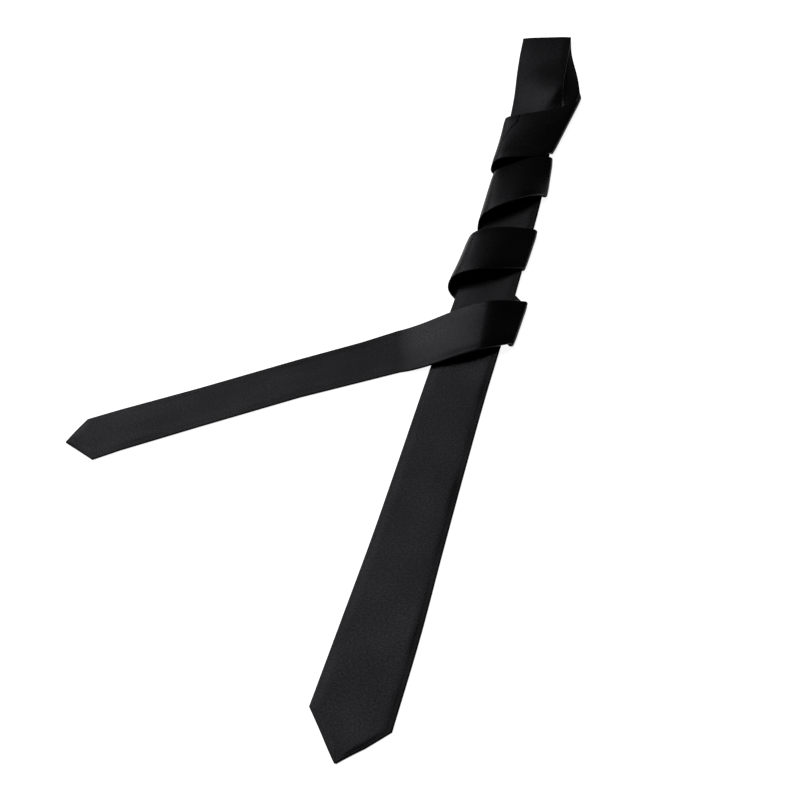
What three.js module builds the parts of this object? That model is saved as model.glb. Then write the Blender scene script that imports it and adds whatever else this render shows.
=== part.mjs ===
// A skinny tie laid on a table, face up, with its narrow half wound four times round the blade.
// Millimetres. Z is up and the table is Z = 0. While the shape is made, the blade's point is at
// X = 0, Y = 0 and the blade runs along +Y. At the end the tie is moved so that the middle of the
// floor of its bounding box is the origin.
import * as THREE from "three";

// Cloth
const THICK = 2.0; // folded cloth and interlining, pressed together
const GAP = 0.3; // clear space between two layers that lie on each other
const SEAM_GAP = 0.3; // clear space between two pieces at a seam
const EDGE = 0.7; // how far the faces stop short of the rolled edges

// Heights of the middle of the cloth
const ON_TABLE = THICK / 2;
const ON_BAND = ON_TABLE + THICK + GAP;
const OVER_BLADE = ON_BAND + THICK + GAP;
const FOLD_RADIUS = (OVER_BLADE - ON_TABLE) / 2; // of the folds at the blade's right side

// The blade from its point to the fold at its top, one row per section across it.
// along: distance from the point; middle: sideways place of the section's middle;
// wide: width; lean: how much the right end is further along than the left, per mm of width.
const BLADE_POINT = [
  { along: 0, middle: 0, wide: 1.6, lean: 0, up: ON_TABLE },
  { along: 15.5, middle: 0.8, wide: 29.8, lean: -0.064, up: ON_TABLE },
];
const BLADE = [
  { along: 31.5, middle: 1.0, wide: 56.9, lean: -0.045, up: ON_TABLE },
  { along: 98, middle: 2.1, wide: 54.0, lean: 0, up: ON_TABLE },
  { along: 160, middle: 2.2, wide: 49.5, lean: 0, up: ON_TABLE },
  { along: 222, middle: 1.9, wide: 46.4, lean: 0, up: ON_TABLE },
  { along: 291, middle: 1.7, wide: 43.8, lean: 0, up: ON_TABLE },
  { along: 334, middle: 2.4, wide: 42.6, lean: 0, up: ON_BAND },
  { along: 360, middle: 2.5, wide: 41.3, lean: 0, up: ON_BAND },
  { along: 400, middle: 2.7, wide: 39.4, lean: 0, up: ON_BAND },
  { along: 430, middle: 3.1, wide: 37.1, lean: 0, up: ON_BAND },
  { along: 456, middle: 2.75, wide: 36.0, lean: 0, up: ON_BAND },
  { along: 478, middle: 1.5, wide: 35.3, lean: 0, up: ON_BAND },
  { along: 500, middle: -1.2, wide: 35.6, lean: 0, up: ON_BAND },
  { along: 522, middle: -2.2, wide: 35.8, lean: 0, up: ON_BAND },
  { along: 546, middle: -4.1, wide: 36.4, lean: 0.03, up: ON_BAND },
  { along: 570, middle: -7.7, wide: 36.2, lean: 0.1, up: ON_BAND },
  { along: 590, middle: -10.0, wide: 36.2, lean: 0.22, up: ON_BAND },
];
// The fold at the top: the blade turns under here and comes back below itself.
const TOP_FOLD = { leftOut: -30.0, leftAlong: 602.8, rightOut: 5.3, rightAlong: 614.2 };
const UNDER_BOW = 0.75; // how far the right edge of the layer below bends in

// The band's two edges in each of its crossings over the blade, one row per edge and crossing.
// The band folds at the blade's right side (crease), rises to a crest over the blade, turns down
// at the left side and goes back below the blade to the next crease. "far" is the edge nearer the
// top fold. out: sideways; along: from the blade's point; up: height of the middle of the cloth;
// slope: how fast the edge runs toward the blade's point, per mm of cloth; drop: how far it does
// so within the fold itself; peak: near 1 for a sharp ridge at the crest, more for a broad one;
// square: 2 for a round turn, more for a boxy one; tuck: how far under the blade the turn reaches
// before the cloth lies on the table; waist: how much tighter the turn is between its two edges.
const WRAPS = [
  {
    waist: 0.7,
    far: {
      creaseOut: 27.4, creaseAlong: 559.0, drop: 13, creaseSlope: 1.04,
      crestOut: -8.0, crestUp: 9.9, peak: 1.6,
      turnOut: -23.6, turnAlong: 520.6, turnUp: 6.0, turnSlope: 0.48,
      square: 3.4, tuck: 4.5,
    },
    near: {
      creaseOut: 19.0, creaseAlong: 502.2, drop: 3, creaseSlope: 1.09,
      crestOut: -15.6, crestUp: 11.4, peak: 1.6,
      turnOut: -22.6, turnAlong: 474.8, turnUp: 5.3, turnSlope: 1.0,
      square: 2.3, tuck: 5,
    },
  },
  {
    waist: 0.1,
    far: {
      creaseOut: 20.3, creaseAlong: 497.3, drop: 0, creaseSlope: 0.15,
      crestOut: -12.7, crestUp: 10.5, peak: 2.2,
      turnOut: -19.2, turnAlong: 468.7, turnUp: 6.2, turnSlope: 0.63,
      square: 3, tuck: 3,
    },
    near: {
      creaseOut: 24.3, creaseAlong: 463.8, drop: 0, creaseSlope: 0.71,
      crestOut: 0.2, crestUp: 16.4, peak: 2.2,
      turnOut: -18.7, turnAlong: 423.2, turnUp: 7.1, turnSlope: 0.88,
      square: 2.6, tuck: 4,
    },
  },
  {
    waist: 0.8,
    far: {
      creaseOut: 25.3, creaseAlong: 431.4, drop: 0, creaseSlope: 0.35,
      crestOut: -12.2, crestUp: 13.6, peak: 1.8,
      turnOut: -22.4, turnAlong: 406.2, turnUp: 4.6, turnSlope: 0.8,
      square: 2.4, tuck: 4,
    },
    near: {
      creaseOut: 24.5, creaseAlong: 396.6, drop: 0, creaseSlope: 0.65,
      crestOut: -10.0, crestUp: 16.6, peak: 1.8,
      turnOut: -25.9, turnAlong: 366.4, turnUp: 7.2, turnSlope: 0.68,
      square: 2.3, tuck: 8,
    },
  },
  {
    waist: 0,
    far: {
      creaseOut: 33.7, creaseAlong: 369.7, drop: 0, creaseSlope: 0.47,
      crestOut: 6.0, crestUp: 15.2, peak: 1.6,
      turnOut: -50.0, turnAlong: 323.6, turnUp: ON_TABLE, turnSlope: 0.6,
      square: 0, tuck: 0,
    },
    near: {
      creaseOut: 32.5, creaseAlong: 332.6, drop: 0, creaseSlope: 0.8,
      crestOut: 10.0, crestUp: 11.8, peak: 1.6,
      turnOut: -39.4, turnAlong: 290.9, turnUp: ON_TABLE, turnSlope: 0.45,
      square: 0, tuck: 0,
    },
  },
];

// The tail, flat on the table, one row per section from the last crossing to its pointed end.
const TAIL = [
  { farOut: -72, farAlong: 307.5, nearOut: -61.5, nearAlong: 277.0 },
  { farOut: -110.5, farAlong: 281.9, nearOut: -101.2, nearAlong: 252.1 },
  { farOut: -170.9, farAlong: 240.3, nearOut: -161.1, nearAlong: 210.8 },
  { farOut: -219.1, farAlong: 208.3, nearOut: -208.2, nearAlong: 177.8 },
  { farOut: -237.8, farAlong: 195.3, nearOut: -223.8, nearAlong: 165.8 },
  { farOut: -242.4, farAlong: 184.6, nearOut: -235.5, nearAlong: 169.9 },
];
const TAIL_POINT = { farOut: -245.8, farAlong: 175.0, nearOut: -246.2, nearAlong: 173.7 };

// The three lengths of cloth are sewn together twice. The first seam is on crossing 1, this many
// sections past its crest, and runs slanting: its near and its far edge are so many sections
// further along, and the sections within its reach slant with it.
const FIRST_SEAM = { past: 1, near: 5.2, far: -0.3, reach: 9 };
// The second one is below the blade after crossing 2, this share of the way to the next crease.
const SECOND_SEAM = 0.5;

// Number of sections in each part of the band
const STEPS = { blade: 10, fold: 7, under: 8, rise: 8, turn: 10, tuck: 6, back: 5, tail: 4, end: 3 };

const lerp = (a, b, t) => a + (b - a) * t;

// A smooth value through the rows of a table at a distance along it.
function through(rows, column, along) {
  let i = 0;
  while (i < rows.length - 2 && rows[i + 1].along < along) {
    i += 1;
  }
  const [a, b] = [rows[i], rows[i + 1]];
  const before = rows[Math.max(i - 1, 0)];
  const after = rows[Math.min(i + 2, rows.length - 1)];
  const span = b.along - a.along;
  const startSlope = ((b[column] - before[column]) / (b.along - before.along)) * span;
  const endSlope = ((after[column] - a[column]) / (after.along - a.along)) * span;
  return hermite(a[column], b[column], startSlope, endSlope, (along - a.along) / span);
}

// A cubic from a to b with the given slopes over its whole length.
function hermite(a, b, slopeA, slopeB, t) {
  const t2 = t * t;
  const t3 = t2 * t;
  const ends = a * (2 * t3 - 3 * t2 + 1) + b * (3 * t2 - 2 * t3);
  return ends + slopeA * (t3 - 2 * t2 + t) + slopeB * (t3 - t2);
}

// A soft step from 0 to 1.
const ease = (t) => t * t * (3 - 2 * t);

// A section across the band: where its far and near edges are, and how much its middle is hollow.
const section = (far, near, hollow = 0) => ({
  far: new THREE.Vector3(...far),
  near: new THREE.Vector3(...near),
  hollow,
});

function bladeSection(row) {
  const half = row.wide / 2;
  const rise = half * row.lean;
  return section(
    [row.middle + half, row.along + rise, row.up],
    [row.middle - half, row.along - rise, row.up],
  );
}

// The blade from its point to the fold at the top.
function bladeSections() {
  const sections = [...BLADE_POINT, BLADE[0]].map(bladeSection);
  for (let i = 0; i < BLADE.length - 1; i += 1) {
    const [a, b] = [BLADE[i], BLADE[i + 1]];
    const steps = a.up === b.up ? 3 : STEPS.blade;
    for (let k = 1; k <= steps; k += 1) {
      const along = lerp(a.along, b.along, k / steps);
      sections.push(bladeSection({
        along,
        middle: through(BLADE, "middle", along),
        wide: through(BLADE, "wide", along),
        lean: through(BLADE, "lean", along),
        up: lerp(a.up, b.up, ease(k / steps)),
      }));
    }
  }
  return sections;
}

// The fold at the top and the layer below the blade, down to the first crease.
function topSections(first) {
  const left = new THREE.Vector2(TOP_FOLD.leftOut, TOP_FOLD.leftAlong);
  const right = new THREE.Vector2(TOP_FOLD.rightOut, TOP_FOLD.rightAlong);
  const across = right.clone().sub(left).normalize();
  const outward = new THREE.Vector2(-across.y, across.x);
  const radius = (ON_BAND - ON_TABLE) / 2;
  const sections = [];
  for (let i = 0; i <= STEPS.fold; i += 1) {
    const angle = (Math.PI * i) / STEPS.fold;
    const reach = radius * Math.sin(angle) - radius - THICK / 2;
    const up = ON_TABLE + radius * (1 + Math.cos(angle));
    sections.push(section(
      [right.x + outward.x * reach, right.y + outward.y * reach, up],
      [left.x + outward.x * reach, left.y + outward.y * reach, up],
    ));
  }
  const from = sections[sections.length - 1];
  for (let i = 1; i < STEPS.under; i += 1) {
    const t = i / STEPS.under;
    const far = from.far.clone().lerp(first.far, t);
    far.x -= UNDER_BOW * (Math.sin(Math.PI * t) + Math.sin(2 * Math.PI * t));
    sections.push({ far, near: from.near.clone().lerp(first.near, t), hollow: 0 });
  }
  return sections;
}

// Where the sharp fold at the blade's right side begins, sideways.
const creaseStart = (edge) => edge.creaseOut - THICK / 2 - FOLD_RADIUS;

// How steeply the cloth leaves that fold, in radians. The fold is open by this angle.
function leaveAngle(edge) {
  const rise = edge.peak * (edge.crestUp - OVER_BLADE);
  return Math.atan(rise / (creaseStart(edge) - edge.crestOut));
}

// The sharp fold at the blade's right side.
function creaseRail(edge) {
  const turned = Math.PI - leaveAngle(edge);
  const rail = [];
  for (let i = 0; i <= STEPS.fold; i += 1) {
    const t = i / STEPS.fold;
    const angle = turned * t;
    rail.push([
      creaseStart(edge) + FOLD_RADIUS * Math.sin(angle),
      edge.creaseAlong + edge.drop * (0.5 - t),
      ON_TABLE + FOLD_RADIUS * (1 - Math.cos(angle)),
    ]);
  }
  return rail;
}

// Gives places in a plane across the blade their distance along it, with the slopes at both ends.
function runAlong(plane, from, to, slopeFrom, slopeTo) {
  const reached = [0];
  for (let i = 1; i < plane.length; i += 1) {
    const step = Math.hypot(plane[i][0] - plane[i - 1][0], plane[i][1] - plane[i - 1][1]);
    reached.push(reached[i - 1] + step);
  }
  const total = reached[reached.length - 1];
  return plane.map(([out, up], i) => [
    out,
    hermite(from, to, -slopeFrom * total, -slopeTo * total, reached[i] / total),
    up,
  ]);
}

// One edge of a crossing from the crease over the crest to the turn at the left side, or to the
// place where the tail meets the table.
function frontRail(edge) {
  const [start, , low] = creaseRail(edge)[STEPS.fold];
  const plane = [];
  for (let i = 0; i <= STEPS.rise; i += 1) {
    const t = i / STEPS.rise;
    plane.push([lerp(start, edge.crestOut, t), lerp(low, edge.crestUp, 1 - (1 - t) ** edge.peak)]);
  }
  const turns = edge.square > 0;
  const end = turns ? edge.turnOut + THICK / 2 : edge.turnOut;
  for (let i = 1; i <= STEPS.turn; i += 1) {
    const t = i / STEPS.turn;
    if (turns) {
      const angle = (t * Math.PI) / 2;
      const power = 2 / edge.square;
      plane.push([
        lerp(edge.crestOut, end, Math.sin(angle) ** power),
        lerp(edge.turnUp, edge.crestUp, Math.max(Math.cos(angle), 0) ** power),
      ]);
    } else {
      plane.push([lerp(edge.crestOut, end, t), lerp(edge.crestUp, edge.turnUp, ease(t))]);
    }
  }
  const left = edge.creaseAlong - edge.drop / 2;
  return runAlong(plane, left, edge.turnAlong, edge.creaseSlope, edge.turnSlope);
}

// One edge from the turn at the left side, below the blade, to the next crease.
function backRail(edge, next) {
  const start = edge.turnOut + THICK / 2;
  const end = creaseStart(next);
  const power = 2 / edge.square;
  const plane = [[start, edge.turnUp]];
  for (let i = 1; i <= STEPS.tuck; i += 1) {
    const angle = ((i / STEPS.tuck) * Math.PI) / 2;
    plane.push([
      lerp(start + edge.tuck, start, Math.max(Math.cos(angle), 0) ** power),
      lerp(edge.turnUp, ON_TABLE, Math.sin(angle) ** power),
    ]);
  }
  for (let i = 1; i <= STEPS.back; i += 1) {
    plane.push([lerp(start + edge.tuck, end, i / STEPS.back), ON_TABLE]);
  }
  const reached = next.creaseAlong + next.drop / 2;
  const even = (edge.turnAlong - reached) / (end - start);
  return runAlong(plane, edge.turnAlong, reached, even, even);
}

// The flat tail from where it meets the table to its point.
function tailSections(last) {
  const rows = [
    { farOut: last.far.x, farAlong: last.far.y, nearOut: last.near.x, nearAlong: last.near.y },
    ...TAIL,
    TAIL_POINT,
  ];
  const sections = [];
  for (let i = 0; i < rows.length - 1; i += 1) {
    const [a, b] = [rows[i], rows[i + 1]];
    const steps = b === TAIL_POINT ? STEPS.end : STEPS.tail;
    for (let k = 1; k <= steps; k += 1) {
      const t = k / steps;
      sections.push(section(
        [lerp(a.farOut, b.farOut, t), lerp(a.farAlong, b.farAlong, t), ON_TABLE],
        [lerp(a.nearOut, b.nearOut, t), lerp(a.nearAlong, b.nearAlong, t), ON_TABLE],
      ));
    }
  }
  return sections;
}

// The whole band, and the two places along it where one piece is sewn to the next.
function layBand() {
  const sections = bladeSections();
  const pair = (far, near, hollow = () => 0) => far.map((place, i) => section(place, near[i], hollow(i)));
  const firstCrease = section(creaseRail(WRAPS[0].far)[0], creaseRail(WRAPS[0].near)[0]);
  sections.push(...topSections(firstCrease));
  const seams = [];
  WRAPS.forEach((wrap, i) => {
    sections.push(...pair(creaseRail(wrap.far), creaseRail(wrap.near)));
    if (i === 0) {
      seams.push(sections.length - 1 + STEPS.rise + FIRST_SEAM.past);
    }
    const turning = (k) => wrap.waist * ease(Math.max(k - STEPS.rise, 0) / STEPS.turn);
    sections.push(...pair(frontRail(wrap.far), frontRail(wrap.near), turning).slice(1));
    if (i < WRAPS.length - 1) {
      const next = WRAPS[i + 1];
      const tucking = (k) => wrap.waist * ease(Math.max(1 - (2 * k) / STEPS.tuck, 0));
      const back = pair(backRail(wrap.far, next.far), backRail(wrap.near, next.near), tucking);
      if (i === 1) {
        seams.push(sections.length - 1 + STEPS.tuck + Math.round(SECOND_SEAM * STEPS.back));
      }
      sections.push(...back.slice(1, -1));
    }
  });
  sections.push(...tailSections(sections[sections.length - 1]));
  return { sections, seams };
}

// The direction square to the cloth at one edge of a section.
function normalAt(sections, i, side) {
  const before = sections[Math.max(i - 1, 0)];
  const after = sections[Math.min(i + 1, sections.length - 1)];
  const forward = after[side].clone().sub(before[side]);
  const middles = after.far.clone().add(after.near).sub(before.far).sub(before.near);
  const travel = forward.lengthSq() > 1e-6 ? forward : middles;
  const across = sections[i].far.clone().sub(sections[i].near);
  return across.cross(travel).normalize();
}

// The eight corners of the band's cross-section at one of the sections.
function cornersAt(sections, i) {
  const { far, near } = sections[i];
  const across = far.clone().sub(near);
  const inset = Math.min(EDGE, across.length() * 0.3);
  const step = across.normalize().multiplyScalar(inset);
  const farUp = normalAt(sections, i, "far").multiplyScalar(THICK / 2);
  const nearUp = normalAt(sections, i, "near").multiplyScalar(THICK / 2);
  const middle = far.clone().add(near).multiplyScalar(0.5);
  const middleUp = farUp.clone().add(nearUp).setLength(THICK / 2);
  middle.addScaledVector(middleUp, -sections[i].hollow / (THICK / 2));
  const farIn = far.clone().sub(step);
  const nearIn = near.clone().add(step);
  return [
    near.clone(),
    nearIn.clone().add(nearUp),
    middle.clone().add(middleUp),
    farIn.clone().add(farUp),
    far.clone(),
    farIn.clone().sub(farUp),
    middle.clone().sub(middleUp),
    nearIn.clone().sub(nearUp),
  ];
}

// How far across the band each corner is, from the near edge to the far one
const ACROSS = [0, 0, 0.5, 1, 1, 1, 0.5, 0];

// The band's cross-sections, slanting near the first seam.
function slantingRings(corners, seam) {
  return corners.map((_, i) => {
    const fade = Math.max(1 - Math.abs(i - seam) / FIRST_SEAM.reach, 0);
    return ACROSS.map((share, corner) => {
      const place = i + fade * lerp(FIRST_SEAM.near, FIRST_SEAM.far, share);
      const from = Math.min(Math.floor(place), corners.length - 2);
      return corners[from][corner].clone().lerp(corners[from + 1][corner], place - from);
    });
  });
}

const RING = ACROSS.length;
const CAP = [[0, 7, 1], [1, 7, 6], [1, 6, 2], [2, 6, 5], [2, 5, 3], [3, 5, 4]];

// A closed body through the rings.
function bodyThrough(rings) {
  const positions = rings.flat().flatMap((p) => [p.x, p.y, p.z]);
  const faces = [];
  for (let i = 0; i < rings.length - 1; i += 1) {
    for (let k = 0; k < RING; k += 1) {
      const a = i * RING + k;
      const b = i * RING + ((k + 1) % RING);
      faces.push(a, b, b + RING, a, b + RING, a + RING);
    }
  }
  const last = (rings.length - 1) * RING;
  for (const [a, b, c] of CAP) {
    faces.push(a, b, c);
    faces.push(last + a, last + c, last + b);
  }
  const geometry = new THREE.BufferGeometry();
  geometry.setAttribute("position", new THREE.Float32BufferAttribute(positions, 3));
  geometry.setIndex(faces);
  geometry.computeVertexNormals();
  return geometry;
}

// The rings of one piece, cut back a little where it is sewn to the next.
function pieceRings(rings, from, to) {
  const piece = rings.slice(from, to + 1).map((ring) => ring.map((corner) => corner.clone()));
  const pull = (end, inner) => {
    end.forEach((corner, i) => {
      corner.add(inner[i].clone().sub(corner).setLength(SEAM_GAP / 2));
    });
  };
  if (from > 0) {
    pull(piece[0], piece[1]);
  }
  if (to < rings.length - 1) {
    pull(piece[piece.length - 1], piece[piece.length - 2]);
  }
  return piece;
}

const { sections, seams } = layBand();
const rings = slantingRings(sections.map((_, i) => cornersAt(sections, i)), seams[0]);
const cloth = new THREE.MeshStandardMaterial({ color: 0x1c1c1f, roughness: 0.5, metalness: 0 });
const pieces = [
  { name: "blade", from: 0, to: seams[0] },
  { name: "neck", from: seams[0], to: seams[1] },
  { name: "tail", from: seams[1], to: sections.length - 1 },
];

const tie = new THREE.Group();
tie.name = "skinny_tie";
for (const { name, from, to } of pieces) {
  const mesh = new THREE.Mesh(bodyThrough(pieceRings(rings, from, to)), cloth);
  mesh.name = name;
  tie.add(mesh);
}

const box = new THREE.Box3().setFromObject(tie);
const centre = box.getCenter(new THREE.Vector3());
for (const mesh of tie.children) {
  mesh.geometry.translate(-centre.x, -centre.y, -box.min.z);
}

export default tie;
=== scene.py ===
"""A black satin skinny tie, laid on a pale table with its narrow half wound round its blade.

The band is laid out in millimetres in the blade's own frame: the blade's point is at 0, 0, the
blade runs along +Y and the table is Z = 0. Meshes are moved to the part's frame and to metres.
"""
import logging
import math
from dataclasses import dataclass
from enum import Enum
from typing import Any, Sequence

import bpy
import numpy as np
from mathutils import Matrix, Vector


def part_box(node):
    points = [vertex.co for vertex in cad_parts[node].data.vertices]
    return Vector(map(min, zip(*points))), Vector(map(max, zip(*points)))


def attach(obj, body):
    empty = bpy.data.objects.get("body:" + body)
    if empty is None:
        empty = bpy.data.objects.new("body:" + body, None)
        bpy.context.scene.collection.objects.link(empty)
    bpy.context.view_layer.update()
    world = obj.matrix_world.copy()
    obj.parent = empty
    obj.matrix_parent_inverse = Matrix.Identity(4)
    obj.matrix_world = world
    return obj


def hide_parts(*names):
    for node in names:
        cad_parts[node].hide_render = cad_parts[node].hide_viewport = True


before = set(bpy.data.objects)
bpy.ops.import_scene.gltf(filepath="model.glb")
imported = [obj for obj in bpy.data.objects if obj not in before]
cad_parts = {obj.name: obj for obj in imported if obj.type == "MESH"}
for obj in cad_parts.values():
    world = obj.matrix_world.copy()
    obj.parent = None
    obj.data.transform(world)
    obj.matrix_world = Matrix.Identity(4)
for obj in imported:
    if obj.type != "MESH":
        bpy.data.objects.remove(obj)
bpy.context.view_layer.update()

logging.basicConfig(level=logging.INFO, format="%(name)s: %(message)s")
log = logging.getLogger("tie")

MM = 0.001
CLOTH_MAP = "cloth"
TINY = 1e-9
STILL = 1e-3


# Small sums

def lerp(a: Any, b: Any, t: Any) -> Any:
    """Goes the share t of the way from a to b."""
    return a + (b - a) * t


def ease(t: Any) -> Any:
    """A soft step from 0 to 1."""
    t = np.clip(t, 0, 1)
    return t * t * (3 - 2 * t)


def hump(x: Any, middle: float, wide: float) -> Any:
    """A smooth hump of height 1 round a middle."""
    return np.exp(-(((x - middle) / wide) ** 2))


def hermite(a: Any, b: Any, slope_a: Any, slope_b: Any, t: Any) -> Any:
    """A cubic from a to b with the given slopes over its whole length."""
    t2 = t * t
    t3 = t2 * t
    ends = a * (2 * t3 - 3 * t2 + 1) + b * (3 * t2 - 2 * t3)
    return ends + slope_a * (t3 - 2 * t2 + t) + slope_b * (t3 - t2)


def unit(vectors: np.ndarray) -> np.ndarray:
    """The vectors at length 1."""
    return vectors / np.maximum(np.linalg.norm(vectors, axis=-1, keepdims=True), TINY)


# The band's lay, in millimetres

@dataclass(frozen=True)
class Cloth:
    """The folded cloth and its interlining, and how finely its skin is divided."""

    thick: float = 2.0
    gap: float = 0.3
    seam_gap: float = 0.3
    edge: float = 0.8
    roll: float = 0.55
    roll_steps: int = 5
    slope: float = 8.0
    slope_share: float = 0.3
    slope_steps: int = 7
    across_steps: int = 26

    @property
    def on_table(self) -> float:
        """Height of the middle of the cloth on the table."""
        return self.thick / 2

    @property
    def on_band(self) -> float:
        """Height of the middle of the cloth on one layer."""
        return self.on_table + self.thick + self.gap

    @property
    def over_blade(self) -> float:
        """Height of the middle of the cloth on two layers."""
        return self.on_band + self.thick + self.gap

    @property
    def fold_radius(self) -> float:
        """Radius of the middle of the cloth where it folds round the blade's edge."""
        return (self.over_blade - self.on_table) / 2


CLOTH = Cloth()


@dataclass
class Course:
    """A run of sections across the band, with the far and the near edge of each."""

    far: np.ndarray
    near: np.ndarray
    hollow: np.ndarray
    loose: np.ndarray

    @classmethod
    def of(cls, far: Any, near: Any, hollow: Any = 0.0, loose: Any = 0.0) -> "Course":
        """Makes a course from two edges.

        Args:
            far: places of the far edge.
            near: places of the near edge.
            hollow: how far the middle of each section sinks in.
            loose: how much of the cloth's unevenness shows, from 0 to 1.

        Returns:
            The course.
        """
        far = np.array(far, float).reshape(-1, 3)
        near = np.array(near, float).reshape(-1, 3)
        full = np.ones(len(far))
        return cls(far, near, full * hollow, full * loose)

    def part(self, start: int, stop: int | None = None) -> "Course":
        """The sections from start up to, and without, stop."""
        cut = slice(start, stop)
        return Course(self.far[cut], self.near[cut], self.hollow[cut], self.loose[cut])

    @staticmethod
    def joined(courses: Sequence["Course"]) -> "Course":
        """One course from several that follow each other."""
        return Course(*(np.concatenate([getattr(c, name) for c in courses])
                        for name in ("far", "near", "hollow", "loose")))

    @property
    def reached(self) -> np.ndarray:
        """Distance along the band's middle at each section."""
        middle = (self.far + self.near) / 2
        steps = np.linalg.norm(np.diff(middle, axis=0), axis=1)
        return np.concatenate([[0.0], np.cumsum(steps)])

    def at(self, values: np.ndarray, along: np.ndarray) -> np.ndarray:
        """Values given at the sections, at other distances along the band."""
        columns = values.reshape(len(values), -1).T
        found = np.stack([np.interp(along, self.reached, c) for c in columns], -1)
        return found.reshape(*along.shape, *values.shape[1:])

    def edge_normals(self) -> tuple[np.ndarray, np.ndarray]:
        """The direction square to the cloth along the far and the near edge."""
        across = self.far - self.near
        middle = (self.far + self.near) / 2
        normals = []
        for edge in (self.far, self.near):
            travel = np.gradient(edge, axis=0)
            still = np.linalg.norm(travel, axis=1) < STILL
            travel[still] = np.gradient(middle, axis=0)[still]
            normals.append(unit(np.cross(across, travel)))
        return normals[0], normals[1]


@dataclass(frozen=True)
class BladeRow:
    """A section of the blade: lean is how much its right end is further along, per mm of width."""

    along: float
    middle: float
    wide: float
    up: float
    lean: float = 0.0

    def edges(self) -> tuple[list[float], list[float]]:
        """The right and the left end of the section."""
        half = self.wide / 2
        rise = half * self.lean
        return (
            [self.middle + half, self.along + rise, self.up],
            [self.middle - half, self.along - rise, self.up],
        )


@dataclass(frozen=True)
class Blade:
    """The wide half from its point to the fold at its top, and the layer below it."""

    point: tuple[BladeRow, ...] = (
        BladeRow(0, 0, 1.6, CLOTH.on_table),
        BladeRow(15.5, 0.8, 29.8, CLOTH.on_table, -0.064),
    )
    rows: tuple[BladeRow, ...] = (
        BladeRow(31.5, 1.0, 56.9, CLOTH.on_table, -0.045),
        BladeRow(98, 2.1, 54.0, CLOTH.on_table),
        BladeRow(160, 2.2, 49.5, CLOTH.on_table),
        BladeRow(222, 1.9, 46.4, CLOTH.on_table),
        BladeRow(291, 1.7, 43.8, CLOTH.on_table),
        BladeRow(334, 2.4, 42.6, CLOTH.on_band),
        BladeRow(360, 2.5, 41.3, CLOTH.on_band),
        BladeRow(400, 2.7, 39.4, CLOTH.on_band),
        BladeRow(430, 3.1, 37.1, CLOTH.on_band),
        BladeRow(456, 2.75, 36.0, CLOTH.on_band),
        BladeRow(478, 1.5, 35.3, CLOTH.on_band),
        BladeRow(500, -1.2, 35.6, CLOTH.on_band),
        BladeRow(522, -2.2, 35.8, CLOTH.on_band),
        BladeRow(546, -4.1, 36.4, CLOTH.on_band, 0.03),
        BladeRow(570, -7.7, 36.2, CLOTH.on_band, 0.1),
        BladeRow(590, -10.0, 36.2, CLOTH.on_band, 0.22),
    )
    fold_left: tuple[float, float] = (-30.0, 602.8)
    fold_right: tuple[float, float] = (5.3, 614.2)
    under_bow: float = 0.75
    step: float = 2.0
    point_step: float = 1.2
    fold_steps: int = 20
    under_steps: int = 40

    def column(self, name: str, along: float) -> float:
        """A smooth value through one column of the rows at a distance along the blade."""
        rows = self.rows
        i = 0
        while i < len(rows) - 2 and rows[i + 1].along < along:
            i += 1
        a, b = rows[i], rows[i + 1]
        before, after = rows[max(i - 1, 0)], rows[min(i + 2, len(rows) - 1)]
        span = b.along - a.along
        start = (getattr(b, name) - getattr(before, name)) / (b.along - before.along) * span
        end = (getattr(after, name) - getattr(a, name)) / (after.along - a.along) * span
        return hermite(getattr(a, name), getattr(b, name), start, end, (along - a.along) / span)

    def front(self) -> Course:
        """The blade's upper layer, from its point to its last row."""
        rows = []
        for a, b in zip(self.point, (*self.point[1:], self.rows[0])):
            count = round((b.along - a.along) / self.point_step)
            rows += [BladeRow(*(lerp(getattr(a, name), getattr(b, name), i / count)
                                for name in ("along", "middle", "wide", "up", "lean")))
                     for i in range(count)]
        for a, b in zip(self.rows, self.rows[1:]):
            count = round((b.along - a.along) / self.step)
            for i in range(count):
                along = lerp(a.along, b.along, i / count)
                rows.append(BladeRow(
                    along, self.column("middle", along), self.column("wide", along),
                    lerp(a.up, b.up, float(ease(i / count))), self.column("lean", along)))
        rows.append(self.rows[-1])
        edges = [row.edges() for row in rows]
        return Course.of([e[0] for e in edges], [e[1] for e in edges], loose=1.0)

    def over_top(self, crease: Course) -> Course:
        """The fold at the top and the layer below, down to the first crease."""
        left, right = np.array(self.fold_left), np.array(self.fold_right)
        across = (right - left) / np.linalg.norm(right - left)
        outward = np.array([-across[1], across[0]])
        radius = (CLOTH.on_band - CLOTH.on_table) / 2
        far, near = [], []
        for i in range(self.fold_steps + 1):
            angle = math.pi * i / self.fold_steps
            reach = outward * (radius * math.sin(angle) - radius - CLOTH.thick / 2)
            up = CLOTH.on_table + radius * (1 + math.cos(angle))
            far.append([*(right + reach), up])
            near.append([*(left + reach), up])
        for i in range(1, self.under_steps):
            t = i / self.under_steps
            bow = self.under_bow * (math.sin(math.pi * t) + math.sin(2 * math.pi * t))
            straight = lerp(np.array(far[self.fold_steps]), crease.far[0], t)
            far.append(straight - np.array([bow, 0, 0]))
            near.append(lerp(np.array(near[self.fold_steps]), crease.near[0], t))
        return Course.of(far, near)


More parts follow.
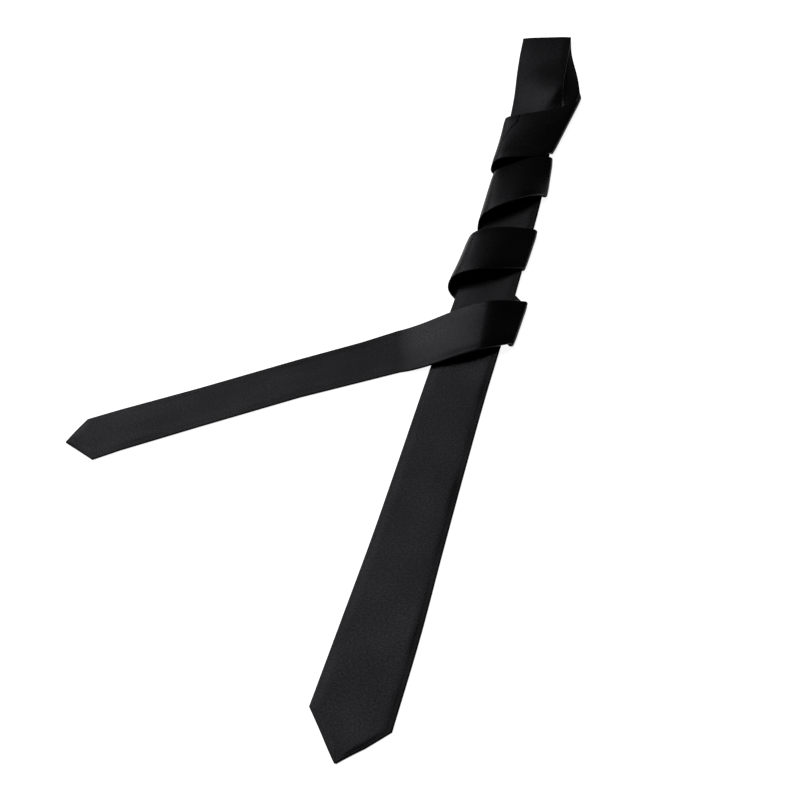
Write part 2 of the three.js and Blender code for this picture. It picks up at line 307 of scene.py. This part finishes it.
@dataclass(frozen=True)
class Rail:
    """One edge of a crossing: crease at the right, crest over the blade, turn at the left."""

    crease_out: float
    crease_along: float
    drop: float
    crease_slope: float
    crest_out: float
    crest_up: float
    peak: float
    turn_out: float
    turn_along: float
    turn_up: float
    turn_slope: float
    square: float
    tuck: float

    @property
    def crease_end(self) -> float:
        """Sideways place where the fold at the right begins, on the table."""
        return self.crease_out - CLOTH.thick / 2 - CLOTH.fold_radius

    @property
    def leaves(self) -> float:
        """How steeply the cloth leaves the fold, in radians: the fold is open by this angle."""
        rise = self.peak * (self.crest_up - CLOTH.over_blade)
        return math.atan(rise / (self.crease_end - self.crest_out))

    def fold(self, t: Any) -> tuple[Any, Any]:
        """Sideways place and height at the share t of the way round the fold."""
        angle = (math.pi - self.leaves) * t
        return (self.crease_end + CLOTH.fold_radius * np.sin(angle),
                CLOTH.on_table + CLOTH.fold_radius * (1 - np.cos(angle)))


@dataclass(frozen=True)
class Crossing:
    """One crossing of the band over the blade."""

    waist: float
    far: Rail
    near: Rail
    fold_steps: int = 20
    rise_steps: int = 26
    turn_steps: int = 40
    tuck_steps: int = 16
    back_steps: int = 20

    def crease(self) -> Course:
        """The sharp fold at the blade's right side."""
        edges = []
        for rail in (self.far, self.near):
            t = np.arange(self.fold_steps + 1) / self.fold_steps
            out, up = rail.fold(t)
            edges.append(np.stack([out, rail.crease_along + rail.drop * (0.5 - t), up], 1))
        return Course.of(*edges)

    @staticmethod
    def run_along(plane: list[tuple[float, float]], ends: tuple[float, float],
                  slopes: tuple[float, float]) -> np.ndarray:
        """Gives places in a plane across the blade their distance along it.

        Args:
            plane: the places, sideways and up.
            ends: distance along the blade at the first and the last place.
            slopes: how fast the edge runs toward the blade's point at both ends.

        Returns:
            The places as rows of three.
        """
        flat = np.array(plane, float)
        steps = np.linalg.norm(np.diff(flat, axis=0), axis=1)
        reached = np.concatenate([[0.0], np.cumsum(steps)])
        total = reached[-1]
        along = hermite(*ends, -slopes[0] * total, -slopes[1] * total, reached / total)
        return np.stack([flat[:, 0], along, flat[:, 1]], 1)

    def front_rail(self, rail: Rail) -> np.ndarray:
        """One edge from the crease over the crest to the turn, or to where the tail lands."""
        plane = []
        start, low = rail.fold(1.0)
        for i in range(self.rise_steps + 1):
            t = i / self.rise_steps
            rise = 1 - (1 - t) ** rail.peak
            plane.append((lerp(start, rail.crest_out, t), lerp(low, rail.crest_up, rise)))
        turns = rail.square > 0
        end = rail.turn_out + CLOTH.thick / 2 if turns else rail.turn_out
        for i in range(1, self.turn_steps + 1):
            t = i / self.turn_steps
            if turns:
                angle = t * math.pi / 2
                power = 2 / rail.square
                plane.append((
                    lerp(rail.crest_out, end, math.sin(angle) ** power),
                    lerp(rail.turn_up, rail.crest_up, max(math.cos(angle), 0.0) ** power)))
            else:
                plane.append((lerp(rail.crest_out, end, t),
                              lerp(rail.crest_up, rail.turn_up, float(ease(t)))))
        return self.run_along(plane, (rail.crease_along - rail.drop / 2, rail.turn_along),
                              (rail.crease_slope, rail.turn_slope))

    def front(self) -> Course:
        """The crossing's upper side."""
        turning = ease((np.arange(self.rise_steps + self.turn_steps + 1) - self.rise_steps)
                       / self.turn_steps)
        return Course.of(self.front_rail(self.far), self.front_rail(self.near),
                         self.waist * turning, 1.0)

    def back_rail(self, rail: Rail, following: Rail) -> np.ndarray:
        """One edge from the turn at the left, below the blade, to the next crease."""
        start = rail.turn_out + CLOTH.thick / 2
        end = following.crease_end
        power = 2 / rail.square
        plane = [(start, rail.turn_up)]
        for i in range(1, self.tuck_steps + 1):
            angle = i / self.tuck_steps * math.pi / 2
            plane.append((
                lerp(start + rail.tuck, start, max(math.cos(angle), 0.0) ** power),
                lerp(rail.turn_up, CLOTH.on_table, math.sin(angle) ** power)))
        for i in range(1, self.back_steps + 1):
            plane.append((lerp(start + rail.tuck, end, i / self.back_steps), CLOTH.on_table))
        reached = following.crease_along + following.drop / 2
        even = (rail.turn_along - reached) / (end - start)
        return self.run_along(plane, (rail.turn_along, reached), (even, even))

    def back(self, following: "Crossing") -> Course:
        """The stretch from the turn to the next crossing's crease."""
        tucking = ease(1 - np.arange(self.tuck_steps + self.back_steps + 1) * 2 / self.tuck_steps)
        return Course.of(self.back_rail(self.far, following.far),
                         self.back_rail(self.near, following.near), self.waist * tucking)


CROSSINGS = (
    Crossing(
        0.7,
        Rail(27.4, 559.0, 13, 1.04, -8.0, 9.9, 1.6,
             -23.6, 520.6, 6.0, 0.48, 3.4, 4.5),
        Rail(19.0, 502.2, 3, 1.09, -15.6, 11.4, 1.6,
             -22.6, 474.8, 5.3, 1.0, 2.3, 5),
    ),
    Crossing(
        0.1,
        Rail(20.3, 497.3, 0, 0.15, -12.7, 10.5, 2.2,
             -19.2, 468.7, 6.2, 0.63, 3, 3),
        Rail(24.3, 463.8, 0, 0.71, 0.2, 16.4, 2.2,
             -18.7, 423.2, 7.1, 0.88, 2.6, 4),
    ),
    Crossing(
        0.8,
        Rail(25.3, 431.4, 0, 0.35, -12.2, 13.6, 1.8,
             -22.4, 406.2, 4.6, 0.8, 2.4, 4),
        Rail(24.5, 396.6, 0, 0.65, -10.0, 16.6, 1.8,
             -25.9, 366.4, 7.2, 0.68, 2.3, 8),
    ),
    Crossing(
        0,
        Rail(33.7, 369.7, 0, 0.47, 6.0, 15.2, 1.6,
             -50.0, 323.6, CLOTH.on_table, 0.6, 0, 0),
        Rail(32.5, 332.6, 0, 0.8, 10.0, 11.8, 1.6,
             -39.4, 290.9, CLOTH.on_table, 0.45, 0, 0),
    ),
)


@dataclass(frozen=True)
class Tail:
    """The narrow half from the last crossing to its point, flat on the table."""

    far: tuple[tuple[float, float], ...] = (
        (-72, 307.5), (-110.5, 281.9), (-170.9, 240.3), (-219.1, 208.3), (-237.8, 195.3),
        (-242.4, 184.6), (-245.8, 175.0))
    near: tuple[tuple[float, float], ...] = (
        (-61.5, 277.0), (-101.2, 252.1), (-161.1, 210.8), (-208.2, 177.8), (-223.8, 165.8),
        (-235.5, 169.9), (-246.2, 173.7))
    step: float = 2.0

    def lie(self, last: Course) -> Course:
        """The sections that follow the last one of the crossing."""
        far_rows = [last.far[-1, :2], *map(np.array, self.far)]
        near_rows = [last.near[-1, :2], *map(np.array, self.near)]
        far, near = [], []
        for a, b, c, d in zip(far_rows, far_rows[1:], near_rows, near_rows[1:]):
            count = max(round(max(np.linalg.norm(b - a), np.linalg.norm(d - c)) / self.step), 1)
            for i in range(1, count + 1):
                far.append([*lerp(a, b, i / count), CLOTH.on_table])
                near.append([*lerp(c, d, i / count), CLOTH.on_table])
        return Course.of(far, near, loose=1.0)


@dataclass
class Lay:
    """The whole band as it lies, and the sections where one length is sewn to the next."""

    blade: Blade
    crossings: tuple[Crossing, ...]
    tail: Tail
    first_seam_crossing: int = 0
    first_seam_share: float = 0.1
    second_seam_crossing: int = 1
    second_seam_share: float = 0.5

    def run(self) -> tuple[Course, list[int]]:
        """Lays the band.

        Returns:
            The course and the numbers of the two sections at the seams.
        """
        courses = [self.blade.front(), self.blade.over_top(self.crossings[0].crease())]
        seams = []
        for i, crossing in enumerate(self.crossings):
            courses.append(crossing.crease())
            done = sum(len(c.far) for c in courses)
            if i == self.first_seam_crossing:
                past = round(self.first_seam_share * crossing.turn_steps)
                seams.append(done - 1 + crossing.rise_steps + past)
            courses.append(crossing.front().part(1))
            if i < len(self.crossings) - 1:
                done = sum(len(c.far) for c in courses)
                if i == self.second_seam_crossing:
                    back = round(self.second_seam_share * crossing.back_steps)
                    seams.append(done - 1 + crossing.tuck_steps + back)
                courses.append(crossing.back(self.crossings[i + 1]).part(1, -1))
        courses.append(self.tail.lie(courses[-1]))
        return Course.joined(courses), seams


# The cloth's own shape

@dataclass(frozen=True)
class Wave:
    """One long ripple of the cloth's face."""

    height: float
    along: float
    across: float
    start: float


@dataclass(frozen=True)
class Unevenness:
    """How far the cloth is from perfectly flat, in millimetres."""

    seed: int = 11
    waves: int = 14
    height: float = 0.05
    lowest: float = 0.5
    shortest: float = 34.0
    longest: float = 120.0
    turn: float = 1.0
    edge_fade: float = 7.0
    edge_line: float = 0.09
    edge_line_in: float = 2.9
    edge_line_wide: float = 0.7

    def ripples(self) -> list[Wave]:
        """The ripples, the same each time."""
        draw = np.random.RandomState(self.seed)
        waves = []
        for _ in range(self.waves):
            length = draw.uniform(self.shortest, self.longest)
            angle = draw.uniform(-self.turn, self.turn)
            waves.append(Wave(
                self.height * draw.uniform(self.lowest, 1.0), math.cos(angle) / length,
                math.sin(angle) / length, draw.uniform(0, 2 * math.pi)))
        return waves

    def lift(self, along: np.ndarray, across: np.ndarray, edge: np.ndarray) -> np.ndarray:
        """How far the face stands proud.

        Args:
            along: distance along the band.
            across: distance across it.
            edge: distance from the nearer edge.

        Returns:
            The lift at each place.
        """
        total = sum(
            w.height * np.sin(2 * math.pi * (w.along * along + w.across * across) + w.start)
            for w in self.ripples())
        line = self.edge_line * hump(edge, self.edge_line_in, self.edge_line_wide)
        return total * ease(edge / self.edge_fade) - line


@dataclass(frozen=True)
class Bulge:
    """Where the two loose layers stand up before the first crossing, the upper one in a ridge."""

    along: float = 560.0
    above: float = 23.0
    below: float = 22.0
    ridge_along: float = 545.0
    ridge_out: float = 3.0
    ridge_slope: float = 0.34
    left: float = 24.0
    right: float = 7.0
    soft: float = 3.0
    ridge: float = 2.1
    ridge_rise: float = 3.0
    edge: float = 1.3
    edge_rise: float = 1.6
    under: float = 2.0
    under_from: float = 0.55

    def swell(self, along: np.ndarray) -> np.ndarray:
        """How much of the bulge shows at a distance along the blade."""
        wide = np.where(along > self.along, self.above, self.below)
        return hump(along, self.along, wide)

    def front(self, places: np.ndarray, share: np.ndarray) -> np.ndarray:
        """How far the upper layer is lifted.

        Args:
            places: places of the blade's frame.
            share: how far across each is, from the left edge to the right one.

        Returns:
            The lift at each place.
        """
        out, along = places[..., 0], places[..., 1]
        aside = out - self.ridge_out - (along - self.ridge_along) * self.ridge_slope
        fallen = np.sqrt(aside ** 2 + self.soft ** 2) - self.soft
        slope = np.clip(1 - fallen / self.left, 0, 1)
        crest = self.ridge * np.where(aside < 0, slope, np.exp(-((aside / self.right) ** 2)))
        lift = crest * ease(share * self.ridge_rise) + self.edge * ease(share * self.edge_rise)
        return self.swell(along) * lift

    def back(self, places: np.ndarray, share: np.ndarray) -> np.ndarray:
        """How far the lower layer is lifted: it slopes down to its right edge."""
        slope = np.minimum(share / self.under_from, (1 - share) / (1 - self.under_from))
        return self.under * self.swell(places[..., 1]) * slope


class Held(Enum):
    """How a length of the tie is held in its shape."""

    LAID = "laid"
    FOLDED = "folded"


@dataclass
class Length:
    """One sewn length of the tie: a closed skin round folded cloth."""

    name: str
    node: str
    held: Held
    start: int
    stop: int
    rests_on: tuple[str, ...]
    sewn_start: bool
    sewn_stop: bool
    end_round: float = 0.4
    end_flat: float = 0.6
    end_steps: tuple[float, ...] = (0.0, 0.04, 0.14, 0.28)

    def places(self, band: Course) -> tuple[np.ndarray, np.ndarray]:
        """Where this length's rings are, and how thick it is at each.

        Args:
            band: the whole band.

        Returns:
            The distances along the band and the share of the full thickness at each.
        """
        whole = band.reached[self.start:self.stop + 1]
        first, last = whole[0], whole[-1]
        if self.sewn_start:
            first += CLOTH.seam_gap / 2
        if self.sewn_stop:
            last -= CLOTH.seam_gap / 2
        inner = whole[(whole > first + self.end_round) & (whole < last - self.end_round)]
        ends = np.array(self.end_steps)
        along = np.concatenate([first + ends, inner, (last - ends)[::-1]])
        from_end = np.minimum(along - first, last - along)
        bite = np.clip(1 - from_end / self.end_round, 0, 1)
        return along, lerp(self.end_flat, 1.0, np.sqrt(1 - bite ** 2))

    def flat_size(self, band: Course) -> tuple[float, float, float]:
        """Width, length and area of the length laid flat, in metres."""
        along, _ = self.places(band)
        far, near = band.at(band.far, along), band.at(band.near, along)
        steps = np.diff(along)
        travel = unit(np.gradient((far + near) / 2, axis=0))
        across = far - near
        square = across - travel * np.sum(across * travel, -1, keepdims=True)
        wide = np.linalg.norm(square, axis=1)
        area = float(np.sum((wide[1:] + wide[:-1]) / 2 * steps))
        return float(wide.max()) * MM, float(steps.sum()) * MM, area * MM * MM


@dataclass(frozen=True)
class Bias:
    """How the first seam slants, and the rings near it with it, in sections of the lay."""

    near: float = 20.8
    far: float = -1.2
    even: float = 2.0
    reach: float = 30.0

    def slanted(self, band: Course, seam: int, along: np.ndarray,
                share: np.ndarray) -> np.ndarray:
        """Distances along the band of the points of slanting rings.

        Args:
            band: the whole band.
            seam: number of the section at the seam.
            along: distance along the band of each ring.
            share: how far across each of a ring's points is.

        Returns:
            The distances, a row for each ring.
        """
        numbers = np.arange(len(band.far))
        place = np.interp(along, band.reached, numbers)[:, None]
        fade = np.clip((self.reach - abs(place - seam)) / (self.reach - self.even), 0, 1)
        return np.interp(place + fade * lerp(self.near, self.far, share), numbers, band.reached)


@dataclass(frozen=True)
class Skin:
    """Works out the closed skin round a course. The top fold is at the distance top along it."""

    uneven: Unevenness
    bulge: Bulge
    top: float = 607.0
    loose_below: float = 82.5
    loose_fade: float = 4.0
    map_wide: float = 40.0

    def template(self) -> tuple[np.ndarray, np.ndarray, np.ndarray]:
        """One ring: share across between the sloping edges, distance in from the edge, height.

        The underside is flat. The edge is thinner than the rest and the face slopes up from it.
        """
        angles = np.arange(1, CLOTH.roll_steps + 1) / CLOTH.roll_steps * math.pi / 2
        middle, half = CLOTH.edge - 1, CLOTH.edge
        roll = [(CLOTH.roll * (1 - math.cos(a)), middle + half * math.sin(a)) for a in angles]
        under = [(CLOTH.roll * (1 - math.cos(a)), middle - half * math.sin(a)) for a in angles]
        rising = np.arange(1, CLOTH.slope_steps + 1) / CLOTH.slope_steps
        slope = [(lerp(CLOTH.roll, CLOTH.slope, t),
                  lerp(middle + half, 1.0, math.sin(t * math.pi / 2))) for t in rising]
        level = [(inset, -1.0) for inset, _ in slope]
        face = np.arange(1, CLOTH.across_steps) / CLOTH.across_steps
        rows = [(0.0, 0.0, middle)]
        rows += [(0.0, inset, up) for inset, up in roll + slope]
        rows += [(share, CLOTH.slope, 1.0) for share in face]
        rows += [(1.0, inset, up) for inset, up in reversed(roll + slope)]
        rows += [(1.0, 0.0, middle)]
        rows += [(1.0, inset, up) for inset, up in under + level]
        rows += [(share, CLOTH.slope, -1.0) for share in face[::-1]]
        rows += [(0.0, inset, up) for inset, up in reversed(under + level)]
        table = np.array(rows)
        return table[:, 0], table[:, 1], table[:, 2]

    def rings(self, band: Course, along: np.ndarray, thin: np.ndarray) -> np.ndarray:
        """The skin's points, ring by ring.

        Args:
            band: the whole band.
            along: distance along the band of each point, a row for each ring.
            thin: share of the full thickness at each ring.

        Returns:
            An array of rings, their points and coordinates, in millimetres.
        """
        share, inset, up = self.template()
        far, near = band.at(band.far, along), band.at(band.near, along)
        far_up, near_up = (band.at(normals, along) for normals in band.edge_normals())
        span = far - near
        wide = np.linalg.norm(span, axis=-1)
        snug = np.minimum(1.0, CLOTH.slope_share * wide / CLOTH.slope)
        across = inset * snug * (1 - share) + (wide - inset * snug) * share
        place = across / wide
        base = near + span * place[..., None]
        normal = unit(lerp(near_up, far_up, place[..., None]))
        edge = np.minimum(across, wide - across)
        lift = self.uneven.lift(along, across, edge) * band.at(band.loose, along)
        half = CLOTH.thick / 2 * thin[:, None] * up + np.where(up > 0, lift, 0) * up
        sunk = band.at(band.hollow, along) * 4 * place * (1 - place)
        points = base + normal * (half - sunk)[..., None]
        before = along < self.top
        after = ease((self.top + self.loose_below - along) / self.loose_fade + 0.5)
        points[..., 2] += np.where(before, self.bulge.front(base, place), 0)
        points[..., 2] += np.where(before, 0, after * self.bulge.back(base, place))
        return points

    def perimeter(self) -> np.ndarray:
        """Distance round a ring of plain width to each of its points, and back to the first."""
        share, inset, up = self.template()
        across = inset * (1 - share) + (self.map_wide - inset) * share
        points = np.stack([across, up * CLOTH.thick / 2], 1)
        steps = np.linalg.norm(np.roll(points, -1, 0) - points, axis=1)
        return np.concatenate([[0.0], np.cumsum(steps)])


@dataclass
class Tailor:
    band: Course
    skin: Skin
    bias: Bias
    first_seam: int
    shift: tuple[float, float]

    def faces(self, rings: int, size: int) -> tuple[list[tuple[int, ...]], int]:
        """Faces of the tube, then of its two ends, and the number of faces of the tube."""
        tube = []
        for i in range(rings - 1):
            for k in range(size):
                a, b = i * size + k, i * size + (k + 1) % size
                tube.append((a, b, b + size, a + size))
        half = size // 2
        caps = []
        last = (rings - 1) * size
        for k in range(half):
            a, b = k, k + 1
            c, d = (size - k - 1) % size, (size - k) % size
            quad = tuple(dict.fromkeys((a, d, c, b)))
            caps.append(quad)
            caps.append(tuple(last + v for v in reversed(quad)))
        return tube + [c for c in caps if len(c) > 2], len(tube)

    def make(self, length: Length) -> bpy.types.Object:
        """Builds a length, replaces its node and logs the size of its cloth laid flat.

        Args:
            length: the length to build.

        Returns:
            The finished object.
        """
        places, thin = length.places(self.band)
        share = self.skin.template()[0]
        along = self.bias.slanted(self.band, self.first_seam, places, share)
        points = self.skin.rings(self.band, along, thin)
        count, size = points.shape[:2]
        points = points.reshape(-1, 3) * MM + np.array([*self.shift, 0.0])
        points[:, 2] = np.maximum(points[:, 2], 0.0)
        faces, tube = self.faces(count, size)
        mesh = bpy.data.meshes.new(length.name)
        mesh.from_pydata(points.tolist(), [], faces)
        mesh.polygons.foreach_set("use_smooth", [i < tube for i in range(len(faces))])
        self.map_cloth(mesh, size, along)
        mesh.update()
        piece = bpy.data.objects.new(length.name, mesh)
        bpy.context.scene.collection.objects.link(piece)
        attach(piece, "root")
        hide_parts(length.node)
        wide, long, area = length.flat_size(self.band)
        log.info("%s: %d faces, cut %.1f x %.1f mm, %.0f square mm",
                 length.name, len(faces), wide / MM, long / MM, area / MM / MM)
        return piece

    def map_cloth(self, mesh: bpy.types.Mesh, size: int, along: np.ndarray) -> None:
        """Gives the mesh a map in metres of cloth: round the band, and along it."""
        around = self.skin.perimeter()
        layer = mesh.uv_layers.new(name=CLOTH_MAP)
        values = np.zeros((len(mesh.loops), 2), np.float32)
        for polygon in mesh.polygons:
            loops = list(polygon.loop_indices)
            rings = [mesh.loops[i].vertex_index // size for i in loops]
            spots = [mesh.loops[i].vertex_index % size for i in loops]
            closes = 0 in spots and size - 1 in spots
            for i, ring, spot in zip(loops, rings, spots):
                if closes and spot == 0:
                    spot = size
                values[i] = (around[spot] * MM, along[ring, spot % size] * MM)
        layer.data.foreach_set("uv", values.ravel())


# Materials

class Wire:
    """A node's output that sums can be written on."""

    def __init__(self, maker: "NodeMaker", socket: bpy.types.NodeSocket) -> None:
        """Keeps the maker and the socket."""
        self.maker = maker
        self.socket = socket

    def __add__(self, other: "Wire | float") -> "Wire":
        """Adds."""
        return self.maker.math("ADD", self, other)

    def __radd__(self, other: float) -> "Wire":
        """Adds to a number."""
        return self.maker.math("ADD", other, self)

    def __sub__(self, other: "Wire | float") -> "Wire":
        """Takes away."""
        return self.maker.math("SUBTRACT", self, other)

    def __rsub__(self, other: float) -> "Wire":
        """Takes away from a number."""
        return self.maker.math("SUBTRACT", other, self)

    def __mul__(self, other: "Wire | float") -> "Wire":
        """Multiplies."""
        return self.maker.math("MULTIPLY", self, other)

    def __rmul__(self, other: float) -> "Wire":
        """Multiplies a number."""
        return self.maker.math("MULTIPLY", other, self)


class NodeMaker:
    """Makes a material's nodes."""

    def __init__(self, name: str) -> None:
        """Starts an empty material of that name."""
        self.material = bpy.data.materials.new(name)
        self.material.use_nodes = True
        self.tree = self.material.node_tree
        self.tree.nodes.clear()

    def node(self, kind: str, settings: dict[str, Any] | None = None,
             **sockets: Any) -> bpy.types.Node:
        """Adds a node.

        Args:
            kind: the node's type.
            settings: its own settings, which are set first.
            sockets: values or wires for its inputs, with _ for a space in their names.

        Returns:
            The node.
        """
        made = self.tree.nodes.new(kind)
        for name, value in (settings or {}).items():
            setattr(made, name, value)
        for name, value in sockets.items():
            key = name.replace("_", " ")
            self.plug(next(s for s in made.inputs if s.name == key and s.enabled), value)
        return made

    def plug(self, socket: bpy.types.NodeSocket, value: Any) -> None:
        """Links a wire to a socket, or sets its value."""
        if isinstance(value, Wire):
            self.tree.links.new(value.socket, socket)
        else:
            socket.default_value = value

    def out(self, node: bpy.types.Node, name: str) -> Wire:
        """A node's output as a wire."""
        return Wire(self, next(s for s in node.outputs if s.name == name and s.enabled))

    def math(self, operation: str, *values: "Wire | float") -> Wire:
        """A sum of wires and numbers."""
        made = self.node("ShaderNodeMath", {"operation": operation})
        for socket, value in zip(made.inputs, values):
            self.plug(socket, value)
        return self.out(made, "Value")

    def scaled(self, vector: Wire, by: tuple[float, ...]) -> Wire:
        """A vector, each of its parts times a number."""
        made = self.node("ShaderNodeVectorMath", {"operation": "MULTIPLY"})
        self.plug(made.inputs[0], vector)
        self.plug(made.inputs[1], by)
        return self.out(made, "Vector")

    def noise(self, vector: Wire, scale: float, detail: float) -> Wire:
        """Soft noise from 0 to 1."""
        made = self.node("ShaderNodeTexNoise", Vector=vector, Scale=scale, Detail=detail)
        return self.out(made, "Fac")

    def mix(self, share: Wire, a: tuple[float, ...], b: tuple[float, ...]) -> Wire:
        """A colour between two."""
        made = self.node("ShaderNodeMix", {"data_type": "RGBA"}, Factor=share, A=a, B=b)
        return self.out(made, "Result")


@dataclass(frozen=True)
class Satin:
    """Black satin: a smooth weave cut on the bias, with faint clouds where the cloth is pressed."""

    dark: tuple[float, ...] = (0.0018, 0.0018, 0.0022, 1)
    light: tuple[float, ...] = (0.0038, 0.0038, 0.0046, 1)
    specular: float = 0.15
    tint: tuple[float, ...] = (0.93, 0.93, 1.0, 1)
    roughness: float = 0.34
    cloudy: float = 0.3
    grainy: float = 0.5
    twill_pitch: float = 0.0007
    twill_height: float = 0.35
    bump: float = 0.00002
    cloud_scale: float = 34.0
    cloud_detail: float = 3.0
    cloud_share: float = 0.7
    grain_scale: float = 900.0
    grain_detail: float = 2.0
    stretch: float = 0.45

    def make(self) -> bpy.types.Material:
        """The finish as a material."""
        maker = NodeMaker("black_satin")
        cloth = maker.out(maker.node("ShaderNodeUVMap", {"uv_map": CLOTH_MAP}), "UV")
        parts = maker.node("ShaderNodeSeparateXYZ", Vector=cloth)
        across, along = maker.out(parts, "X"), maker.out(parts, "Y")
        stretched = maker.scaled(cloth, (1, self.stretch, 1))
        cloud = maker.noise(stretched, self.cloud_scale, self.cloud_detail)
        grain = maker.noise(cloth, self.grain_scale, self.grain_detail)
        twill = maker.math("SINE", (across + along) * (2 * math.pi / self.twill_pitch))
        shade = cloud * self.cloud_share + grain * (1 - self.cloud_share)
        rough = (cloud - 0.5) * self.cloudy + (grain - 0.5) * self.grainy + self.roughness
        height = grain + twill * self.twill_height
        bump = maker.node("ShaderNodeBump", Strength=1.0, Distance=self.bump, Height=height)
        shader = maker.node(
            "ShaderNodeBsdfPrincipled", Base_Color=maker.mix(shade, self.dark, self.light),
            Roughness=rough, Specular_IOR_Level=self.specular, Specular_Tint=self.tint,
            Normal=maker.out(bump, "Normal"))
        output = maker.node("ShaderNodeOutputMaterial")
        maker.plug(output.inputs["Surface"], maker.out(shader, "BSDF"))
        return maker.material


@dataclass(frozen=True)
class Table:
    """The pale table top that the tie lies on."""

    colour: tuple[float, ...] = (0.86, 0.86, 0.86, 1)
    roughness: float = 0.9
    glow: float = 1.06
    half: float = 40.0

    def make(self) -> bpy.types.Object:
        """Adds the table."""
        maker = NodeMaker("pale_table")
        shader = maker.node(
            "ShaderNodeBsdfPrincipled", Base_Color=self.colour, Roughness=self.roughness,
            Emission_Color=self.colour, Emission_Strength=self.glow)
        output = maker.node("ShaderNodeOutputMaterial")
        maker.plug(output.inputs["Surface"], maker.out(shader, "BSDF"))
        mesh = bpy.data.meshes.new("table")
        h = self.half
        mesh.from_pydata([(-h, -h, 0), (h, -h, 0), (h, h, 0), (-h, h, 0)], [], [(0, 1, 2, 3)])
        mesh.materials.append(maker.material)
        table = bpy.data.objects.new("table", mesh)
        bpy.context.scene.collection.objects.link(table)
        return table


@dataclass(frozen=True)
class Lamp:
    """A soft oblong lamp: where it is seen from the tie, how far off, its size and brightness."""

    name: str
    toward: tuple[float, float, float]
    away: float
    size: tuple[float, float]
    radiance: float

    def make(self, aim: Vector) -> bpy.types.Object:
        """Adds the lamp, turned to the aim."""
        data = bpy.data.lights.new(self.name, "AREA")
        data.shape = "RECTANGLE"
        data.size, data.size_y = self.size
        data.energy = self.radiance * math.pi * self.size[0] * self.size[1]
        lamp = bpy.data.objects.new(self.name, data)
        toward = Vector(self.toward).normalized()
        lamp.location = aim + toward * self.away
        lamp.rotation_euler = toward.to_track_quat("Z", "Y").to_euler()
        bpy.context.scene.collection.objects.link(lamp)
        return lamp


@dataclass(frozen=True)
class Studio:
    """The table, the lamps and the camera at the photograph's angle."""

    eye: tuple[float, float, float] = (183.053, -492.339, 1372.367)
    target: tuple[float, float, float] = (-33.451, 269.844, 0.0)
    field: float = 20.0
    room: tuple[float, ...] = (1, 1, 1, 1)
    sky: float = 0.01
    lamps: tuple[Lamp, ...] = (
        Lamp("key", (-0.701, 0.360, 0.616), 6.0, (4.4, 2.2), 4.5),
        Lamp("crown", (-0.281, 0.337, 0.899), 6.0, (3.2, 2.8), 3.2),
    )

    def place(self, point: tuple[float, float, float], shift: tuple[float, float]) -> Vector:
        """A point of the blade's frame in the part's frame, in metres."""
        return Vector(point) * MM + Vector((*shift, 0))

    def make(self, shift: tuple[float, float]) -> None:
        """Adds everything."""
        scene = bpy.context.scene
        eye, target = self.place(self.eye, shift), self.place(self.target, shift)
        data = bpy.data.cameras.new("camera")
        data.angle = math.radians(self.field)
        camera = bpy.data.objects.new("camera", data)
        camera.location = eye
        camera.rotation_euler = (target - eye).to_track_quat("-Z", "Y").to_euler()
        scene.collection.objects.link(camera)
        scene.camera = camera
        Table().make()
        for lamp in self.lamps:
            lamp.make(target)
        world = bpy.data.worlds.new("room")
        world.use_nodes = True
        background = world.node_tree.nodes["Background"]
        background.inputs["Color"].default_value = self.room
        background.inputs["Strength"].default_value = self.sky
        scene.world = world
        scene.view_settings.view_transform = "Standard"


def main() -> None:
    """Builds the tie and its studio."""
    tail = Tail()
    shift = (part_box("tail")[0].x - tail.near[-1][0] * MM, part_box("blade")[0].y)
    Studio().make(shift)
    band, seams = Lay(Blade(), CROSSINGS, tail).run()
    lengths = (
        Length("blade_cloth", "blade", Held.FOLDED, 0, seams[0],
               ("table", "neck_cloth", "tail_cloth"), False, True),
        Length("neck_cloth", "neck", Held.FOLDED, seams[0], seams[1],
               ("table", "blade_cloth"), True, True),
        Length("tail_cloth", "tail", Held.FOLDED, seams[1], len(band.far) - 1,
               ("table", "blade_cloth"), True, False),
    )
    tailor = Tailor(band, Skin(Unevenness(), Bulge()), Bias(), seams[0], shift)
    satin = Satin().make()
    for length in lengths:
        piece = tailor.make(length)
        piece.data.materials.append(satin)


if __name__ == "__main__":
    main()
